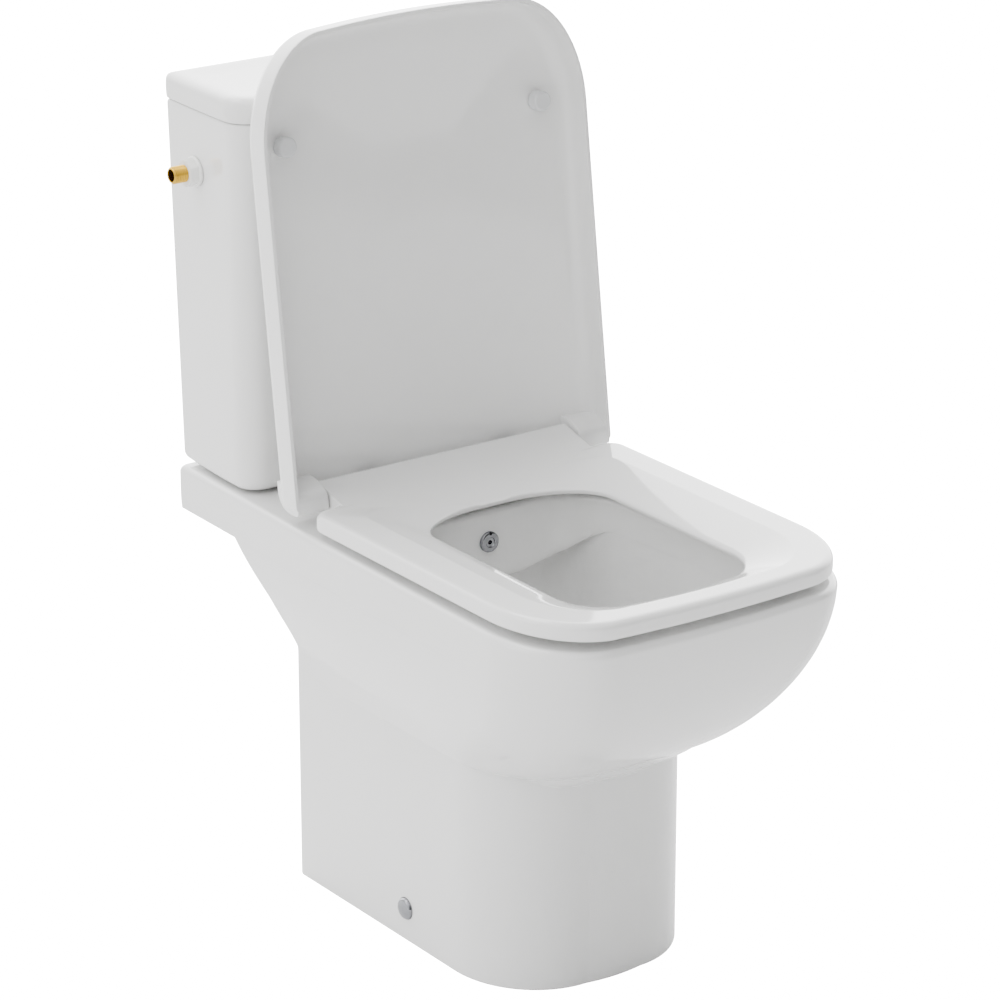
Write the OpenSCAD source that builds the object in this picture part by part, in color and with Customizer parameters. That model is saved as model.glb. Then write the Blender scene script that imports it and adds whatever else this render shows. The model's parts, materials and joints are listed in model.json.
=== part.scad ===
// Close coupled toilet: pan with pedestal foot, cistern, wrap-over seat and cover.
// Origin: middle of the pedestal foot on the floor. +X right, -Y front, +Z up. Millimetres.

/* [Build] */
// Which sub-part to draw
// Opening angle of the cover as drawn, from closed
cover_open = 97.6; // [90:0.1:98.5]

/* [Pan] */
// Half width of the pan rim
pan_w = 180.5; // [179.5:0.5:182]
// Height of the pan rim and deck above the floor
rim_z = 401; // [400:0.5:402]
// Reach of the rim in front of the foot centre
rim_front = 330; // [327:1:334]
// Distance of the wall plane behind the foot centre
wall_y = 306; // [304:1:310]
// Half width of the pedestal foot
foot_w = 117; // [112:1:122]
// Half length of the pedestal foot
foot_l = 180.5; // [176:0.5:184]
// Underside height of the rear deck
deck_z = 357; // [354:1:359]
// Half width of the bowl opening at the rim
bowl_w = 122; // [118:1:126]
// Outer radius of the outlet spigot
outlet_r = 51; // [50:0.5:52]
// Height of the outlet axis
outlet_z = 185; // [182:1:188]
// Height of the side floor screws
side_screw_z = 34; // [32:1:38]

/* [Cistern] */
// Height of the cistern underside
cis_z = 404; // [404:0.5:405]
// Height of the cistern upper edge
cis_top = 765; // [760:1:770]
// Half width of the cistern at its upper edge
cis_w = 174.5; // [173:0.5:176]
// Wall thickness of the cistern
cis_t = 9; // [8:0.5:10]
// Thickness of the lid at its edge
lid_t = 24.5; // [23:0.5:26]
// Height of the water inlet axis
inlet_z = 706; // [702:1:710]
// Distance of the inlet axis behind the foot centre
inlet_y = 252; // [250:1:254]
// Outer radius of the inlet thread
inlet_r = 8.3; // [8:0.1:8.6]

/* [Seat and cover] */
// Half width of the seat
seat_w = 175.5; // [174:0.5:176]
// Underside height of the seat
seat_z = 410; // [409.5:0.25:410.5]
// Half width of the hole in the seat
hole_w = 99; // [95:1:103]
// Half length of the hole in the seat
hole_l = 144; // [140:1:148]
// Half width of the cover
cover_w = 181; // [180.5:0.25:182]
// Distance of the hinge axis behind the foot centre
hinge_y = 98; // [97.5:0.5:98.5]
// Height of the hinge axis
hinge_z = 431; // [430.75:0.25:431.25]
// Radius of the hinge pins
pin_r = 3.5; // [3.3:0.1:3.5]
// Half spacing of the seat fixing bolts
post_x = 77.5; // [76:0.5:79]

/* [Flushing] */
// Distance of the flush valve axis behind the foot centre
valve_y = 242; // [241:0.5:243]
// Radius of the flush valve tail
tail_r = 27; // [26:0.5:28]
// Half spacing of the coupling bolts
couple_x = 76; // [74:1:80]
// Radius of the push button bezel
bezel_r = 30; // [28:1:31]

/* [Hidden] */
$fn = 48;
fit = 0.05;
post_r = 5;
stem = 4;
seat_front = rim_front - 3.3;
cover_front = rim_front + 1.6;
seat_top = seat_z + 16.6;
hole_y = -129;
lid_top = cis_top + 0.6 + lid_t;
cis_back = wall_y;
cis_mid = (cis_back + 172) / 2;
nozzle_z = rim_z - 31;

// ---- shared shapes ----
function arc2(cx, cy, rx, ry, a0, a1, n) =
    [for (i = [0:n]) let (a = a0 + (a1 - a0) * i / n) [cx + rx * cos(a), cy + ry * sin(a)]];
// right half of a soft cornered outline, from the middle of the back to the middle of the front
function side_half(w, wb, yb, yf, rb, rx, ry, bow, rbx = 0, nr = 3) =
    let (ys = yb - rb, ye = yf + bow + ry, rc = rbx > 0 ? rbx : rb)
    concat([for (i = [0:1]) [(wb - rc) * i / 2, yb]],
        arc2(wb - rc, yb - rb, rc, rb, 90, 0, nr),
        [for (i = [1:4]) [wb + (w - wb) * sin(90 * i / 5), ys + (ye - ys) * i / 5]],
        arc2(w - rx, ye, rx, ry, 0, -90, 7),
        [for (i = [1:3]) let (t = 1 - i / 3) [(w - rx) * t, yf + bow * t * t]]);
function ring2(h) = concat(h, [for (i = [len(h) - 2:-1:1]) [-h[i][0], h[i][1]]]);
function ring3(h, z) = [for (p = ring2(h)) [p[0], p[1], z]];
function flat1(v) = [for (r = v, p = r) p];
module loft(rings) {
    n = len(rings[0]);
    m = len(rings);
    polyhedron(points = flat1(rings), faces = concat(
        [[for (i = [n - 1:-1:0]) i]],
        [[for (i = [0:n - 1]) (m - 1) * n + i]],
        [for (j = [0:m - 2], i = [0:n - 1]) let (k = (i + 1) % n)
            [j * n + k, (j + 1) * n + k, (j + 1) * n + i]],
        [for (j = [0:m - 2], i = [0:n - 1]) let (k = (i + 1) % n)
            [j * n + k, (j + 1) * n + i, j * n + i]]), convexity = 8);
}
// round tube along a path that stays in a plane of constant x
function unit(v) = v / norm(v);
module sweep(p, r, n) loft([for (i = [0:len(p) - 1])
    let (t = unit(p[min(i + 1, len(p) - 1)] - p[max(i - 1, 0)]), v = cross(t, [1, 0, 0]))
        [for (j = [0:n - 1]) let (a = -360 * j / n) p[i] + r * (cos(a) * [1, 0, 0] + sin(a) * v)]]);
module tube(ro, ri, h) {
    difference() {
        cylinder(r = ro, h = h);
        translate([0, 0, -1]) cylinder(r = ri, h = h + 2);
    }
}
module along_x(x, y, z) translate([x, y, z]) rotate([0, 90, 0]) children();
module along_y(x, y, z) translate([x, y, z]) rotate([-90, 0, 0]) children();
module both(x) for (s = [-1, 1]) translate([s * x, 0, 0]) children();
module hexagon(af, h) cylinder(r = af / 2 / cos(30), h = h, $fn = 6);
module about_hinge(a) translate([0, hinge_y, hinge_z]) rotate([a, 0, 0])
    translate([0, -hinge_y, -hinge_z]) children();

// ---- pan ----
flare_z = 215;
flare_h = 186;
function fw(z) = z <= flare_z ? 0 : z >= flare_z + flare_h ? 1 :
    pow(sin(90 * (z - flare_z) / flare_h), 1.11);
function fb(z) = z <= 240 ? 0 : z >= 372 ? 1 : pow(sin(90 * (z - 240) / 132), 1.15);
function ff(z) = z <= flare_z ? 0 : z >= flare_z + flare_h ? 1 :
    pow(1 - pow(1 - (z - flare_z) / flare_h, 2), 0.71);
function rear(z) = z >= deck_z ? wall_y : z <= 296 ? foot_l : foot_l + 28 * pow((z - 296) / 56, 1.4);
function pan_ring(z, in) = let (k = ff(z))
    ring3(side_half(foot_w + (pan_w - foot_w) * fw(z) - in, foot_w + 1 + (pan_w - 12 - foot_w) * fb(z) - in,
        rear(z) - in, -foot_l - (rim_front - foot_l) * k + in, 7 - in * 0.4,
        86 - 12 * k - 40 * k * (1 - k) - in, 92 + 11 * k + 57 * k * (1 - k) - in, 3 + 1.5 * k), z);
function bowl_ring(z, w, yb, yf, g, rx, ry) =
    ring3(side_half(w + g, w - 8 + g, yb + g, yf - g, w * 0.55 + g, rx + g, ry + g, 8), z);
function bowl_k(z) = sin(90 * pow((z - 150) / 190, 0.72));
module bowl_space(g) {
    // lower bowl, set back under the rear shelf
    loft(concat([bowl_ring(152 - g, 34, 58, -60, g * 0.6, 24, 40)],
        [for (z = [168, 195, 230, 270, 310, 334]) let (k = bowl_k(z))
            bowl_ring(z, 30 + 95 * k, 60, -30 - 262 * k, g, 20 + 45 * k, 30 + 65 * k)]));
}
module bowl_mouth() {
    loft([for (p = [[318, 14], [346, 0], [rim_z - 5, 0], [rim_z + 3, 4]])
        bowl_ring(p[0], bowl_w - p[1], 25, -290 + p[1], 0, 62, 92)]);
}
trap = [[0, 15, 178], [0, 68, 188], [0, 104, 252], [0, 134, 252], [0, 164, outlet_z], [0, 215, outlet_z]];
module rod(a, b, r) {
    d = b - a;
    translate(a) rotate([0, acos(d[2] / norm(d)), atan2(d[1], d[0])]) cylinder(r = r, h = norm(d), $fn = 24);
}
module trap_way(r) {
    for (i = [0:len(trap) - 2]) rod(trap[i], trap[i + 1], r);
    for (i = [1:len(trap) - 2]) translate(trap[i]) sphere(r = r + 0.6, $fn = 28);
}
module foot_space() loft(concat([for (z = [-2, 176]) ring3(side_half(foot_w - 13, foot_w - 13, foot_l - 13,
    13 - foot_l, 14, 74, 80, 3), z)],
    [for (p = [[192, 5], [198, 16]]) ring3(side_half(foot_w - 13 - p[1], foot_w - 13 - p[1],
        foot_l - 13 - p[1], 13 - foot_l + p[1], 14, 70, 76, 3), p[0])]));
module pan_shell() difference() {
    loft(concat([pan_ring(0, 1.5), pan_ring(2, 0)],
        [for (z = [100, 200, 215, 221, 229, 240, 254, 272, 292, 316, 340, deck_z - 5]) pan_ring(z, 0)],
        [pan_ring(deck_z, 0), pan_ring(rim_z - 9, 0), pan_ring(rim_z - 3, 2),
            pan_ring(rim_z, 6)]));
    difference() {
        foot_space();
        bowl_space(11);
        trap_way(36);
    }
    bowl_space(0);
    bowl_mouth();
    trap_way(27);
    // rear pocket under the deck for the seat nuts and the bidet pipe
    translate([-101, 79, 304]) cube([202, 180, 41]);
    translate([-16, 79, 340]) cube([32, 100, 46]);
    // flush water way
    translate([0, valve_y, rim_z - 29]) cylinder(r = 47, h = 40);
    both(38) translate([0, 50, rim_z - 22]) rotate([-90, 0, 0]) cylinder(r = 12, h = valve_y - 50, $fn = 24);
    both(38) translate([0, 50, 320]) cylinder(r = 12, h = rim_z - 342, $fn = 24);
    for (s = [-1, 1]) translate([s * foot_w, -5, side_screw_z]) rotate([0, s * 90, 0])
        translate([0, 0, -2.1]) cylinder(r = 11.2, h = 8, $fn = 32);
}
module pan() color([0.95, 0.95, 0.94]) difference() {
    union() {
        resize([0, 0, 0]) pan_shell();
        along_y(0, 176, outlet_z) cylinder(r = outlet_r, h = 79);
    }
    along_y(0, 150, outlet_z) cylinder(r = 25, h = 40);
    along_y(0, 180, outlet_z) cylinder(r = outlet_r - 7, h = 90);
    both(couple_x) translate([0, valve_y, deck_z - 20]) cylinder(r = 5.5, h = 80);
    both(post_x) translate([0, hinge_y, 330]) cylinder(r = 6.5, h = 90);
    along_y(0, 10, nozzle_z) cylinder(r = 8.3, h = 90);
    both(foot_w) along_x(-20, -5, side_screw_z) cylinder(r = 4.5, h = 40);
}
module floor_brackets() color([0.75, 0.76, 0.77]) for (s = [-1, 1]) difference() {
    translate([s * (foot_w - 33), -5, 0]) union() {
        translate([-20, -19, 0.2]) cube([40, 38, 5]);
        translate([s > 0 ? 14.6 : -19.6, -19, 0.2]) cube([5, 38, 52]);
        for (y = [-19, 14]) translate([s > 0 ? -14 : 0, y, 0.2]) cube([15, 5, 18]);
    }
    translate([s * (foot_w - 40), -5, -1]) cylinder(r = 4.5, h = 12);
    along_x(s * foot_w - 30, -5, side_screw_z) cylinder(r = 2.6, h = 60);
}
module floor_screws() color([0.8, 0.8, 0.8]) for (s = [-1, 1])
    translate([s * foot_w, -5, side_screw_z]) rotate([0, s * 90, 0]) {
        translate([0, 0, -27]) cylinder(r = 2.5, h = 25.2);
        translate([0, 0, -2]) difference() {
            cylinder(r = 8, h = 3.4);
            translate([0, 0, 1.8]) cylinder(r = 3.4, h = 4, $fn = 6);
        }
    }
module screw_caps() color([0.82, 0.83, 0.85]) for (s = [-1, 1])
    translate([s * foot_w, -5, side_screw_z]) rotate([0, s * 90, 0]) translate([0, 0, -2])
        rotate_extrude($fn = 64) polygon([[8.2, 0], [10.8, 0], [10.8, 3.4], [10.4, 4.6], [8.8, 5.6],
            [5, 6.6], [0, 7], [0, 4.2], [8.2, 4.2]]);

// ---- cistern ----
function cis_ring(z, in) = let (k = (z - cis_z) / (cis_top - cis_z))
    ring3(side_half(168 + (cis_w - 168) * k - in, 163 + (cis_w - 2.5 - 163) * k - in, cis_back - in,
        177 - 8 * k + in, 6, 26, 24, 3), z);
module cistern_shell() difference() {
    loft([cis_ring(cis_z, 7), cis_ring(cis_z + 2, 3), cis_ring(cis_z + 6, 0.5), cis_ring(cis_z + 11, 0),
        cis_ring(520, 0), cis_ring(640, 0), cis_ring(cis_top - 3, 0), cis_ring(cis_top, 2)]);
    loft([cis_ring(cis_z + 10, cis_t + 9), cis_ring(cis_z + 16, cis_t + 2), cis_ring(cis_z + 24, cis_t),
        cis_ring(640, cis_t), cis_ring(cis_top + 4, cis_t)]);
}
module cistern() color([0.95, 0.95, 0.94]) difference() {
    resize([0, 0, 0]) cistern_shell();
    translate([0, valve_y, cis_z - 5]) cylinder(r = tail_r + 3, h = 30);
    both(couple_x) translate([0, valve_y, cis_z - 5]) cylinder(r = 5.5, h = 30);
    along_x(-200, inlet_y, inlet_z) cylinder(r = inlet_r + 0.8, h = 60);
}
module coupling_seal() color([0.16, 0.16, 0.17]) translate([0, valve_y, 0])
    rotate_extrude($fn = 96) polygon([[tail_r + 15.5, rim_z - 14], [46.5, rim_z - 14], [46.5, rim_z],
        [60, rim_z], [62, rim_z + 1.5], [60, cis_z], [tail_r + 15.5, cis_z]]);
module coupling_bolts() color([0.78, 0.7, 0.42]) both(couple_x) translate([0, valve_y, 0]) {
    translate([0, 0, deck_z - 28]) cylinder(r = 4, h = cis_z + 14.2 - deck_z + 28);
    translate([0, 0, cis_z + 14.2]) difference() {
        cylinder(r = 8, h = 5);
        translate([-1, -9, 2.6]) cube([2, 18, 4]);
    }
}
module coupling_washers() both(couple_x) translate([0, valve_y, 0]) {
    color([0.16, 0.16, 0.17]) translate([0, 0, cis_z + 10.2]) tube(12, 4.1, 4);
    color([0.16, 0.16, 0.17]) translate([0, 0, deck_z - 8]) tube(12, 4.1, 4);
}
module wing_nut(r, bore, h) difference() {
    union() {
        cylinder(r = r * 0.5, h = h);
        for (s = [-1, 1]) translate([s * r * 0.62, 0, h * 0.5]) rotate([90, 0, 0])
            translate([0, 0, -1.75]) cylinder(r = h * 0.5, h = 3.5);
        translate([-r * 0.62, -1.75, 0]) cube([r * 1.24, 3.5, h]);
    }
    translate([0, 0, -1]) cylinder(r = bore, h = h + 2);
}
module coupling_nuts() color([0.9, 0.9, 0.88]) both(couple_x)
    translate([0, valve_y, deck_z - 22]) wing_nut(18, 4.1, 14);

// ---- flush valve ----
module valve_body() color([0.86, 0.87, 0.88]) translate([0, valve_y, 0]) difference() {
    union() {
        translate([0, 0, rim_z - 24]) cylinder(r = tail_r, h = cis_z - rim_z + 40);
        for (i = [0:5]) translate([0, 0, rim_z - 20 + i * 5]) cylinder(r = tail_r + 0.7, h = 2.2);
        translate([0, 0, cis_z + 13.2]) cylinder(r = 41, h = 5);
        translate([0, 0, cis_z + 16]) cylinder(r = 33, h = 8);
        for (a = [45:90:315]) rotate([0, 0, a]) translate([26, -3, cis_z + 20]) cube([7, 6, 92]);
        translate([0, 0, cis_z + 108]) cylinder(r = 33, h = 92);
        translate([0, 0, cis_z + 200]) cylinder(r = 24, h = 40);
        for (s = [-1, 1]) translate([s * 16 - 3, -4, cis_z + 236]) cube([6, 8, 60]);
        translate([0, 0, cis_z + 292]) cylinder(r = 26, h = 16);
        both(11) translate([0, 0, cis_z + 300]) cylinder(r = 7.5, h = 26);
    }
    translate([0, 0, rim_z - 30]) cylinder(r = 21.5, h = cis_z - rim_z + 55);
    translate([0, 0, cis_z + 17.4]) cylinder(r = 25, h = 172);
    translate([0, 0, cis_z + 180]) cylinder(r = 15.5, h = 70);
    both(11) translate([0, 0, cis_z + 303]) cylinder(r = 4.6, h = 30);
    for (z = [cis_z + 125, cis_z + 155]) for (a = [0, 90]) rotate([0, 0, a])
        translate([-40, -8, z]) cube([80, 16, 12]);
}
module valve_gasket() color([0.16, 0.16, 0.17]) translate([0, valve_y, cis_z + 10.2])
    tube(40, tail_r + 1, 3);
module valve_nut() color([0.9, 0.9, 0.88]) translate([0, valve_y, rim_z - 14]) difference() {
    union() {
        hexagon(2 * tail_r + 12, cis_z - rim_z + 14);
        translate([0, 0, cis_z - rim_z + 11]) cylinder(r = tail_r + 14, h = 3);
    }
    translate([0, 0, -1]) cylinder(r = tail_r + 0.75, h = 30);
}
module valve_piston() color([0.3, 0.5, 0.72]) translate([0, valve_y, 0]) {
    translate([0, 0, cis_z + 20.4]) difference() {
        union() {
            cylinder(r = 11, h = 252.6);
            cylinder(r = 19, h = 4);
            translate([0, 0, 70]) cylinder(r = 23, h = 42);
            translate([0, 0, 252.6]) cylinder(r = 13, h = 3);
        }
        translate([0, 0, -1]) cylinder(r = 9, h = 260);
        translate([0, 0, 73]) difference() {
            cylinder(r = 21.5, h = 50);
            translate([0, 0, -1]) cylinder(r = 11, h = 60);
        }
    }
}
module valve_seal() color([0.55, 0.16, 0.13]) translate([0, valve_y, cis_z + 17.7])
    tube(24, 9, 2.7);

// ---- water inlet and fill valve ----
arm_y = inlet_y;
pivot_x = -118;
pivot_z = inlet_z + 16;
module fill_valve() color([0.9, 0.91, 0.92]) difference() {
    union() {
        along_x(-160.8, inlet_y, inlet_z) cylinder(r = 14, h = 5);
        along_x(-157, inlet_y, inlet_z) cylinder(r = 12, h = 36);
        translate([-132, inlet_y, inlet_z - 26]) cylinder(r = 8, h = 26);
        translate([-132, inlet_y, cis_z + 60]) cylinder(r = 6, h = inlet_z - cis_z - 84);
        for (s = [-1, 1]) translate([-128, inlet_y - 2 + s * 7, inlet_z + 2]) cube([16, 4, 20]);
    }
    along_x(-162, inlet_y, inlet_z) cylinder(r = 6, h = 36);
    translate([-132, inlet_y, cis_z + 50]) cylinder(r = 4, h = inlet_z - cis_z - 50);
    along_y(pivot_x, inlet_y - 20, pivot_z) cylinder(r = 2.05, h = 40);
}
module inlet_shank() color([0.8, 0.62, 0.3]) along_x(-199.5, inlet_y, inlet_z) difference() {
    union() {
        cylinder(r = inlet_r - 0.7, h = 38.7);
        for (i = [0:7]) translate([0, 0, 0.8 + i * 1.8]) cylinder(r = inlet_r, h = 1);
    }
    translate([0, 0, -1]) cylinder(r = 5.5, h = 60);
}
module inlet_washer() color([0.16, 0.16, 0.17]) along_x(-162.6, inlet_y, inlet_z)
    tube(13, inlet_r - 0.6, 1.8);
module inlet_nut() color([0.93, 0.93, 0.92]) along_x(-185, inlet_y, inlet_z) difference() {
    union() {
        hexagon(24, 9.5);
        translate([0, 0, 8]) cylinder(r = 14.6, h = 3.6);
    }
    translate([0, 0, -1]) cylinder(r = inlet_r - 0.6, h = 14);
}
arm_drop = 24;
module arm_frame() translate([pivot_x, arm_y, pivot_z]) rotate([0, arm_drop, 0]) children();
module float_arm() color([0.3, 0.5, 0.72]) arm_frame() difference() {
    union() {
        rotate([-90, 0, 0]) translate([0, 0, -4.4]) cylinder(r = 5, h = 8.8);
        translate([0, -3, -4]) cube([62, 6, 7]);
        translate([52, 0, -6]) cylinder(r = 7, h = 11);
    }
    rotate([-90, 0, 0]) translate([0, 0, -10]) cylinder(r = 2.05, h = 20);
}
module float_cup() color([0.9, 0.91, 0.92]) arm_frame() translate([52, 0, -6.2])
    rotate([180, 0, 0]) difference() {
        cylinder(r = 21, h = 50);
        translate([0, 0, 3]) cylinder(r = 18.8, h = 60);
    }
module float_pin() color([0.8, 0.8, 0.8]) along_y(pivot_x, inlet_y - 9.5, pivot_z)
    cylinder(r = 2, h = 19);

// ---- lid and buttons ----
module lid_shell() difference() {
    union() {
        loft([for (p = [[0, 1.5], [3, -1.6], [12, -2.6], [19, -2], [22.5, 1], [24.2, 5], [24.5, 12],
            [24, 26]]) let (z = cis_top + 0.6 + p[0] * lid_t / 24.5)
            ring3(side_half(cis_w - p[1], cis_w - 2.5 - p[1], cis_back + 1 - max(p[1], 0),
                168 + p[1], 8 - min(p[1], 6), 28 - min(p[1], 8), 26 - min(p[1], 8), 3), z)]);
        translate([0, cis_mid, cis_top - 9]) difference() {
            translate([-157, -49, 0]) cube([314, 98, 10]);
            translate([-150, -42, -1]) cube([300, 84, 12]);
        }
    }
    loft([for (p = [[-1, 14], [12, 16], [15, 24]])
        ring3(side_half(cis_w - p[1], cis_w - 5 - p[1], cis_back - p[1] - 4, 168 + p[1], 10, 18, 16,
            3), cis_top + 0.6 + p[0])]);
}
module cistern_lid() color([0.95, 0.95, 0.94]) difference() {
    resize([0, 0, 0]) lid_shell();
    translate([0, valve_y, cis_top]) cylinder(r = bezel_r - 3.8, h = 60);
}
module button_bezel() color([0.82, 0.83, 0.85]) translate([0, valve_y, 0]) rotate_extrude($fn = 96)
    polygon([[bezel_r - 7, cis_top - 2], [bezel_r - 4, cis_top - 2], [bezel_r - 4, lid_top + 0.2],
        [bezel_r, lid_top + 0.2], [bezel_r, lid_top + 1.4], [bezel_r - 1.5, lid_top + 3],
        [bezel_r - 5, lid_top + 3.2], [bezel_r - 7, lid_top + 2]]);
module bezel_nut() color([0.9, 0.9, 0.88]) translate([0, valve_y, cis_top + 8.4])
    difference() {
        cylinder(r = bezel_r + 4, h = 7);
        translate([0, 0, -1]) cylinder(r = bezel_r - 3.9, h = 10);
        for (a = [0:30:330]) rotate([0, 0, a]) translate([bezel_r + 4.6, 0, -1]) cylinder(r = 2, h = 9);
    }
module button_half(s) intersection() {
    rotate_extrude($fn = 96) polygon([[0, lid_top - 12], [bezel_r - 7.6, lid_top - 12],
        [bezel_r - 7.6, lid_top + 2.4], [bezel_r - 9, lid_top + 3.6], [bezel_r - 16, lid_top + 3.2],
        [0, lid_top + 2.6]]);
    translate([s > 0 ? 0.5 : -60.5, -60, lid_top - 20]) cube([60, 120, 40]);
}
module full_button() color([0.82, 0.83, 0.85]) translate([0, valve_y, 0]) difference() {
    button_half(1);
    translate([11, 0, lid_top - 14]) cylinder(r = 3, h = 8);
}
module half_button() color([0.82, 0.83, 0.85]) translate([0, valve_y, 0]) difference() {
    button_half(-1);
    translate([-11, 0, lid_top - 14]) cylinder(r = 3, h = 8);
}
module full_rod() color([0.93, 0.93, 0.92]) translate([11, valve_y, cis_z + 318])
    cylinder(r = 2.9, h = lid_top - 6.2 - cis_z - 318);
module half_rod() color([0.3, 0.5, 0.72]) translate([-11, valve_y, cis_z + 318])
    cylinder(r = 2.9, h = lid_top - 6.2 - cis_z - 318);

// ---- seat ----
function hole(g) = ring2(side_half(hole_w + g, hole_w + g, hole_y + hole_l + g, hole_y - hole_l - g,
    48 + g, 50 + g, 54 + g, 4, 80 + g, 5));
function step(t) = let (c = min(1, max(0, t))) c * c * (3 - 2 * c);
function seat_out(in) = ring2(side_half(seat_w - in, seat_w - in, 62 - in, -seat_front + in, 18 - in,
    72 - in, 102 - in, 4.25, 0, 5));
function lift(p) = 0.4 * step((p[1] - 8) / 50) * step((146 - abs(p[0])) / 30);
function seat_row(f, z, k) = let (o = seat_out(0), h = hole(0)) [for (i = [0:len(o) - 1])
    let (q = h[i] + (o[i] - h[i]) * f) [q[0], q[1], z + k * lift(q)]];
function seat_edge(in, z, k) = [for (p = seat_out(in)) [p[0], p[1], z + k * lift(p)]];
function seat_lip(g, z) = [for (p = hole(g)) [p[0], p[1], z]];
module ringbody(rows) {
    n = len(rows[0]);
    m = len(rows);
    polyhedron(points = flat1(rows), faces = [for (j = [0:m - 1], i = [0:n - 1], s = [0, 1])
        let (k = (i + 1) % n, u = (j + 1) % m)
        s == 0 ? [j * n + k, u * n + k, u * n + i] : [j * n + k, u * n + i, j * n + i]], convexity = 8);
}
module seat_bridge() {
    b = 6.8;
    translate([-143, 0, 0]) rotate([90, 0, 90]) linear_extrude(286) polygon(concat(
        [[44, seat_z], [79, seat_z], [84, seat_z + 7], [hinge_y - 5, hinge_z - b + 2]],
        [for (a = [-60:12:84]) [hinge_y + b * cos(a), hinge_z + b * sin(a)]],
        [[hinge_y - 8, hinge_z + b - 2], [75, seat_z + 20.8], [62, seat_z + 17.4], [44, seat_z + 14]]));
}
module seat() color([0.96, 0.96, 0.95]) difference() {
    union() {
        ringbody([seat_edge(0.4, seat_z, 0), seat_edge(0, seat_z + 7, 0), seat_edge(0.6, seat_z + 11, 0.4),
            seat_edge(3.2, seat_z + 15, 0.8), seat_edge(8, seat_top, 1), seat_row(0.6, seat_top, 1),
            seat_row(0.44, seat_top - 1.4, 1), seat_row(0.26, seat_top - 6.4, 1),
            seat_row(0.1, seat_top - 11.2, 0.8), seat_lip(1.4, seat_z + 3), seat_lip(0, seat_z),
            seat_lip(1.5, seat_z - 2), seat_lip(6, seat_z)]);
        seat_bridge();
    }
    along_x(-150, hinge_y, hinge_z) cylinder(r = pin_r + fit, h = 300);
    both(post_x) {
        along_x(-13, hinge_y, hinge_z) cylinder(r = post_r + 0.5, h = 26);
        translate([-13, hinge_y - stem - 0.6, seat_z - 3]) cube([26, 40, hinge_z - seat_z + 3]);
        translate([-13, hinge_y, hinge_z - 1]) cube([26, 20, stem + 2]);
    }
}
module seat_buffers() color([0.85, 0.86, 0.87]) for (s = [-1, 1], y = [-215, 20])
    translate([s * (y < 0 ? 146 : 150), y, rim_z + 0.4]) rotate_extrude($fn = 48)
        polygon([[0, 0], [7, 0], [9, 2], [9, seat_z - rim_z - 0.4], [0, seat_z - rim_z - 0.4]]);

// ---- cover ----
rim_in = 3.8;
function cov(in, z, yb) = ring3(side_half(cover_w - in, cover_w - in, yb, -cover_front + in, 6,
    76 - min(in, 60), 106 - min(in, 60), 4.25), z);
module cover_shell() {
        difference() {
            loft([cov(0.6, seat_z - 1, 112), cov(0, seat_z + 1.5, 112), cov(0, 428, 112),
                cov(1.2, 434, 112), cov(4, 438.6, 111.6), cov(9, 441, 111), cov(16, 442.2, 111),
                cov(60, 445, 111), cov(110, 446.4, 111)]);
            loft([for (p = [[rim_in, seat_z - 6], [rim_in, 430], [rim_in + 1.5, 435], [rim_in + 5, 437.6],
                [rim_in + 13, 438.8], [60, 441.6], [110, 443]])
                ring3(side_half(cover_w - p[0], cover_w - p[0], 130, -cover_front + p[0], 6,
                    76 - min(p[0], 60), 106 - min(p[0], 60), 4.25), p[1])]);
        }
        for (s = [-1, 1]) intersection() {
            translate([s > 0 ? 144.5 : -179, hinge_y, hinge_z]) rotate([90, 0, 90])
                linear_extrude(34.5) polygon([[-13, 10.6], [-12.5, 4], [-10, -5], [-5.5, -14], [1, -22],
                    [17, -22], [17, -14], [15, -3], [11.5, 4], [6, 8.6], [0, 10.4]]);
            loft([cov(1, seat_z - 2, 118), cov(1, 428, 118), cov(2.2, 434, 118), cov(5, 438.6, 118),
                cov(10, 441, 118), cov(17, 442, 118)]);
        }
}
module cover_closed() difference() {
    resize([0, 0, 0]) cover_shell();
    both(159) along_x(-15.5, hinge_y, hinge_z) cylinder(r = pin_r + fit, h = 31);
}
module cover() color([0.96, 0.96, 0.95]) about_hinge(-cover_open) cover_closed();
module cover_buffers() color([0.85, 0.86, 0.87]) about_hinge(-cover_open) both(143)
    translate([0, -223, seat_top + 0.5]) rotate_extrude($fn = 48)
        polygon([[0, 0], [7.5, 0], [9.5, 2], [9.5, 12.2], [0, 12.2]]);

// ---- seat hinge ----
module hinge_posts() color([0.82, 0.83, 0.85]) both(post_x) difference() {
    union() {
        translate([0, hinge_y, rim_z]) cylinder(r = 11.5, h = 3.5);
        translate([-11, hinge_y - stem, rim_z + 1]) cube([22, 2 * stem, hinge_z - rim_z - 1]);
        along_x(-11, hinge_y, hinge_z) cylinder(r = post_r, h = 22);
    }
    along_x(-20, hinge_y, hinge_z) cylinder(r = pin_r, h = 40);
    translate([0, hinge_y, rim_z - 1]) cylinder(r = 4, h = 15);
}
module hinge_pins() color([0.8, 0.8, 0.82]) for (s = [-1, 1])
    along_x(s > 0 ? post_x - 11 : -post_x - 95, hinge_y, hinge_z) cylinder(r = pin_r, h = 106);
module hinge_bolts() color([0.8, 0.8, 0.82]) both(post_x) translate([0, hinge_y, 326])
    cylinder(r = 4, h = rim_z + 13 - 326);
module hinge_washers() color([0.16, 0.16, 0.17]) both(post_x) translate([0, hinge_y, 341])
    difference() {
        union() {
            cylinder(r = 13, h = 4);
            cylinder(r = 6.3, h = 10);
        }
        translate([0, 0, -1]) cylinder(r = 4.1, h = 14);
    }
module hinge_nuts() color([0.9, 0.9, 0.88]) both(post_x) translate([0, hinge_y, 328])
    rotate([0, 0, 90]) wing_nut(17, 4.1, 13);

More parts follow.
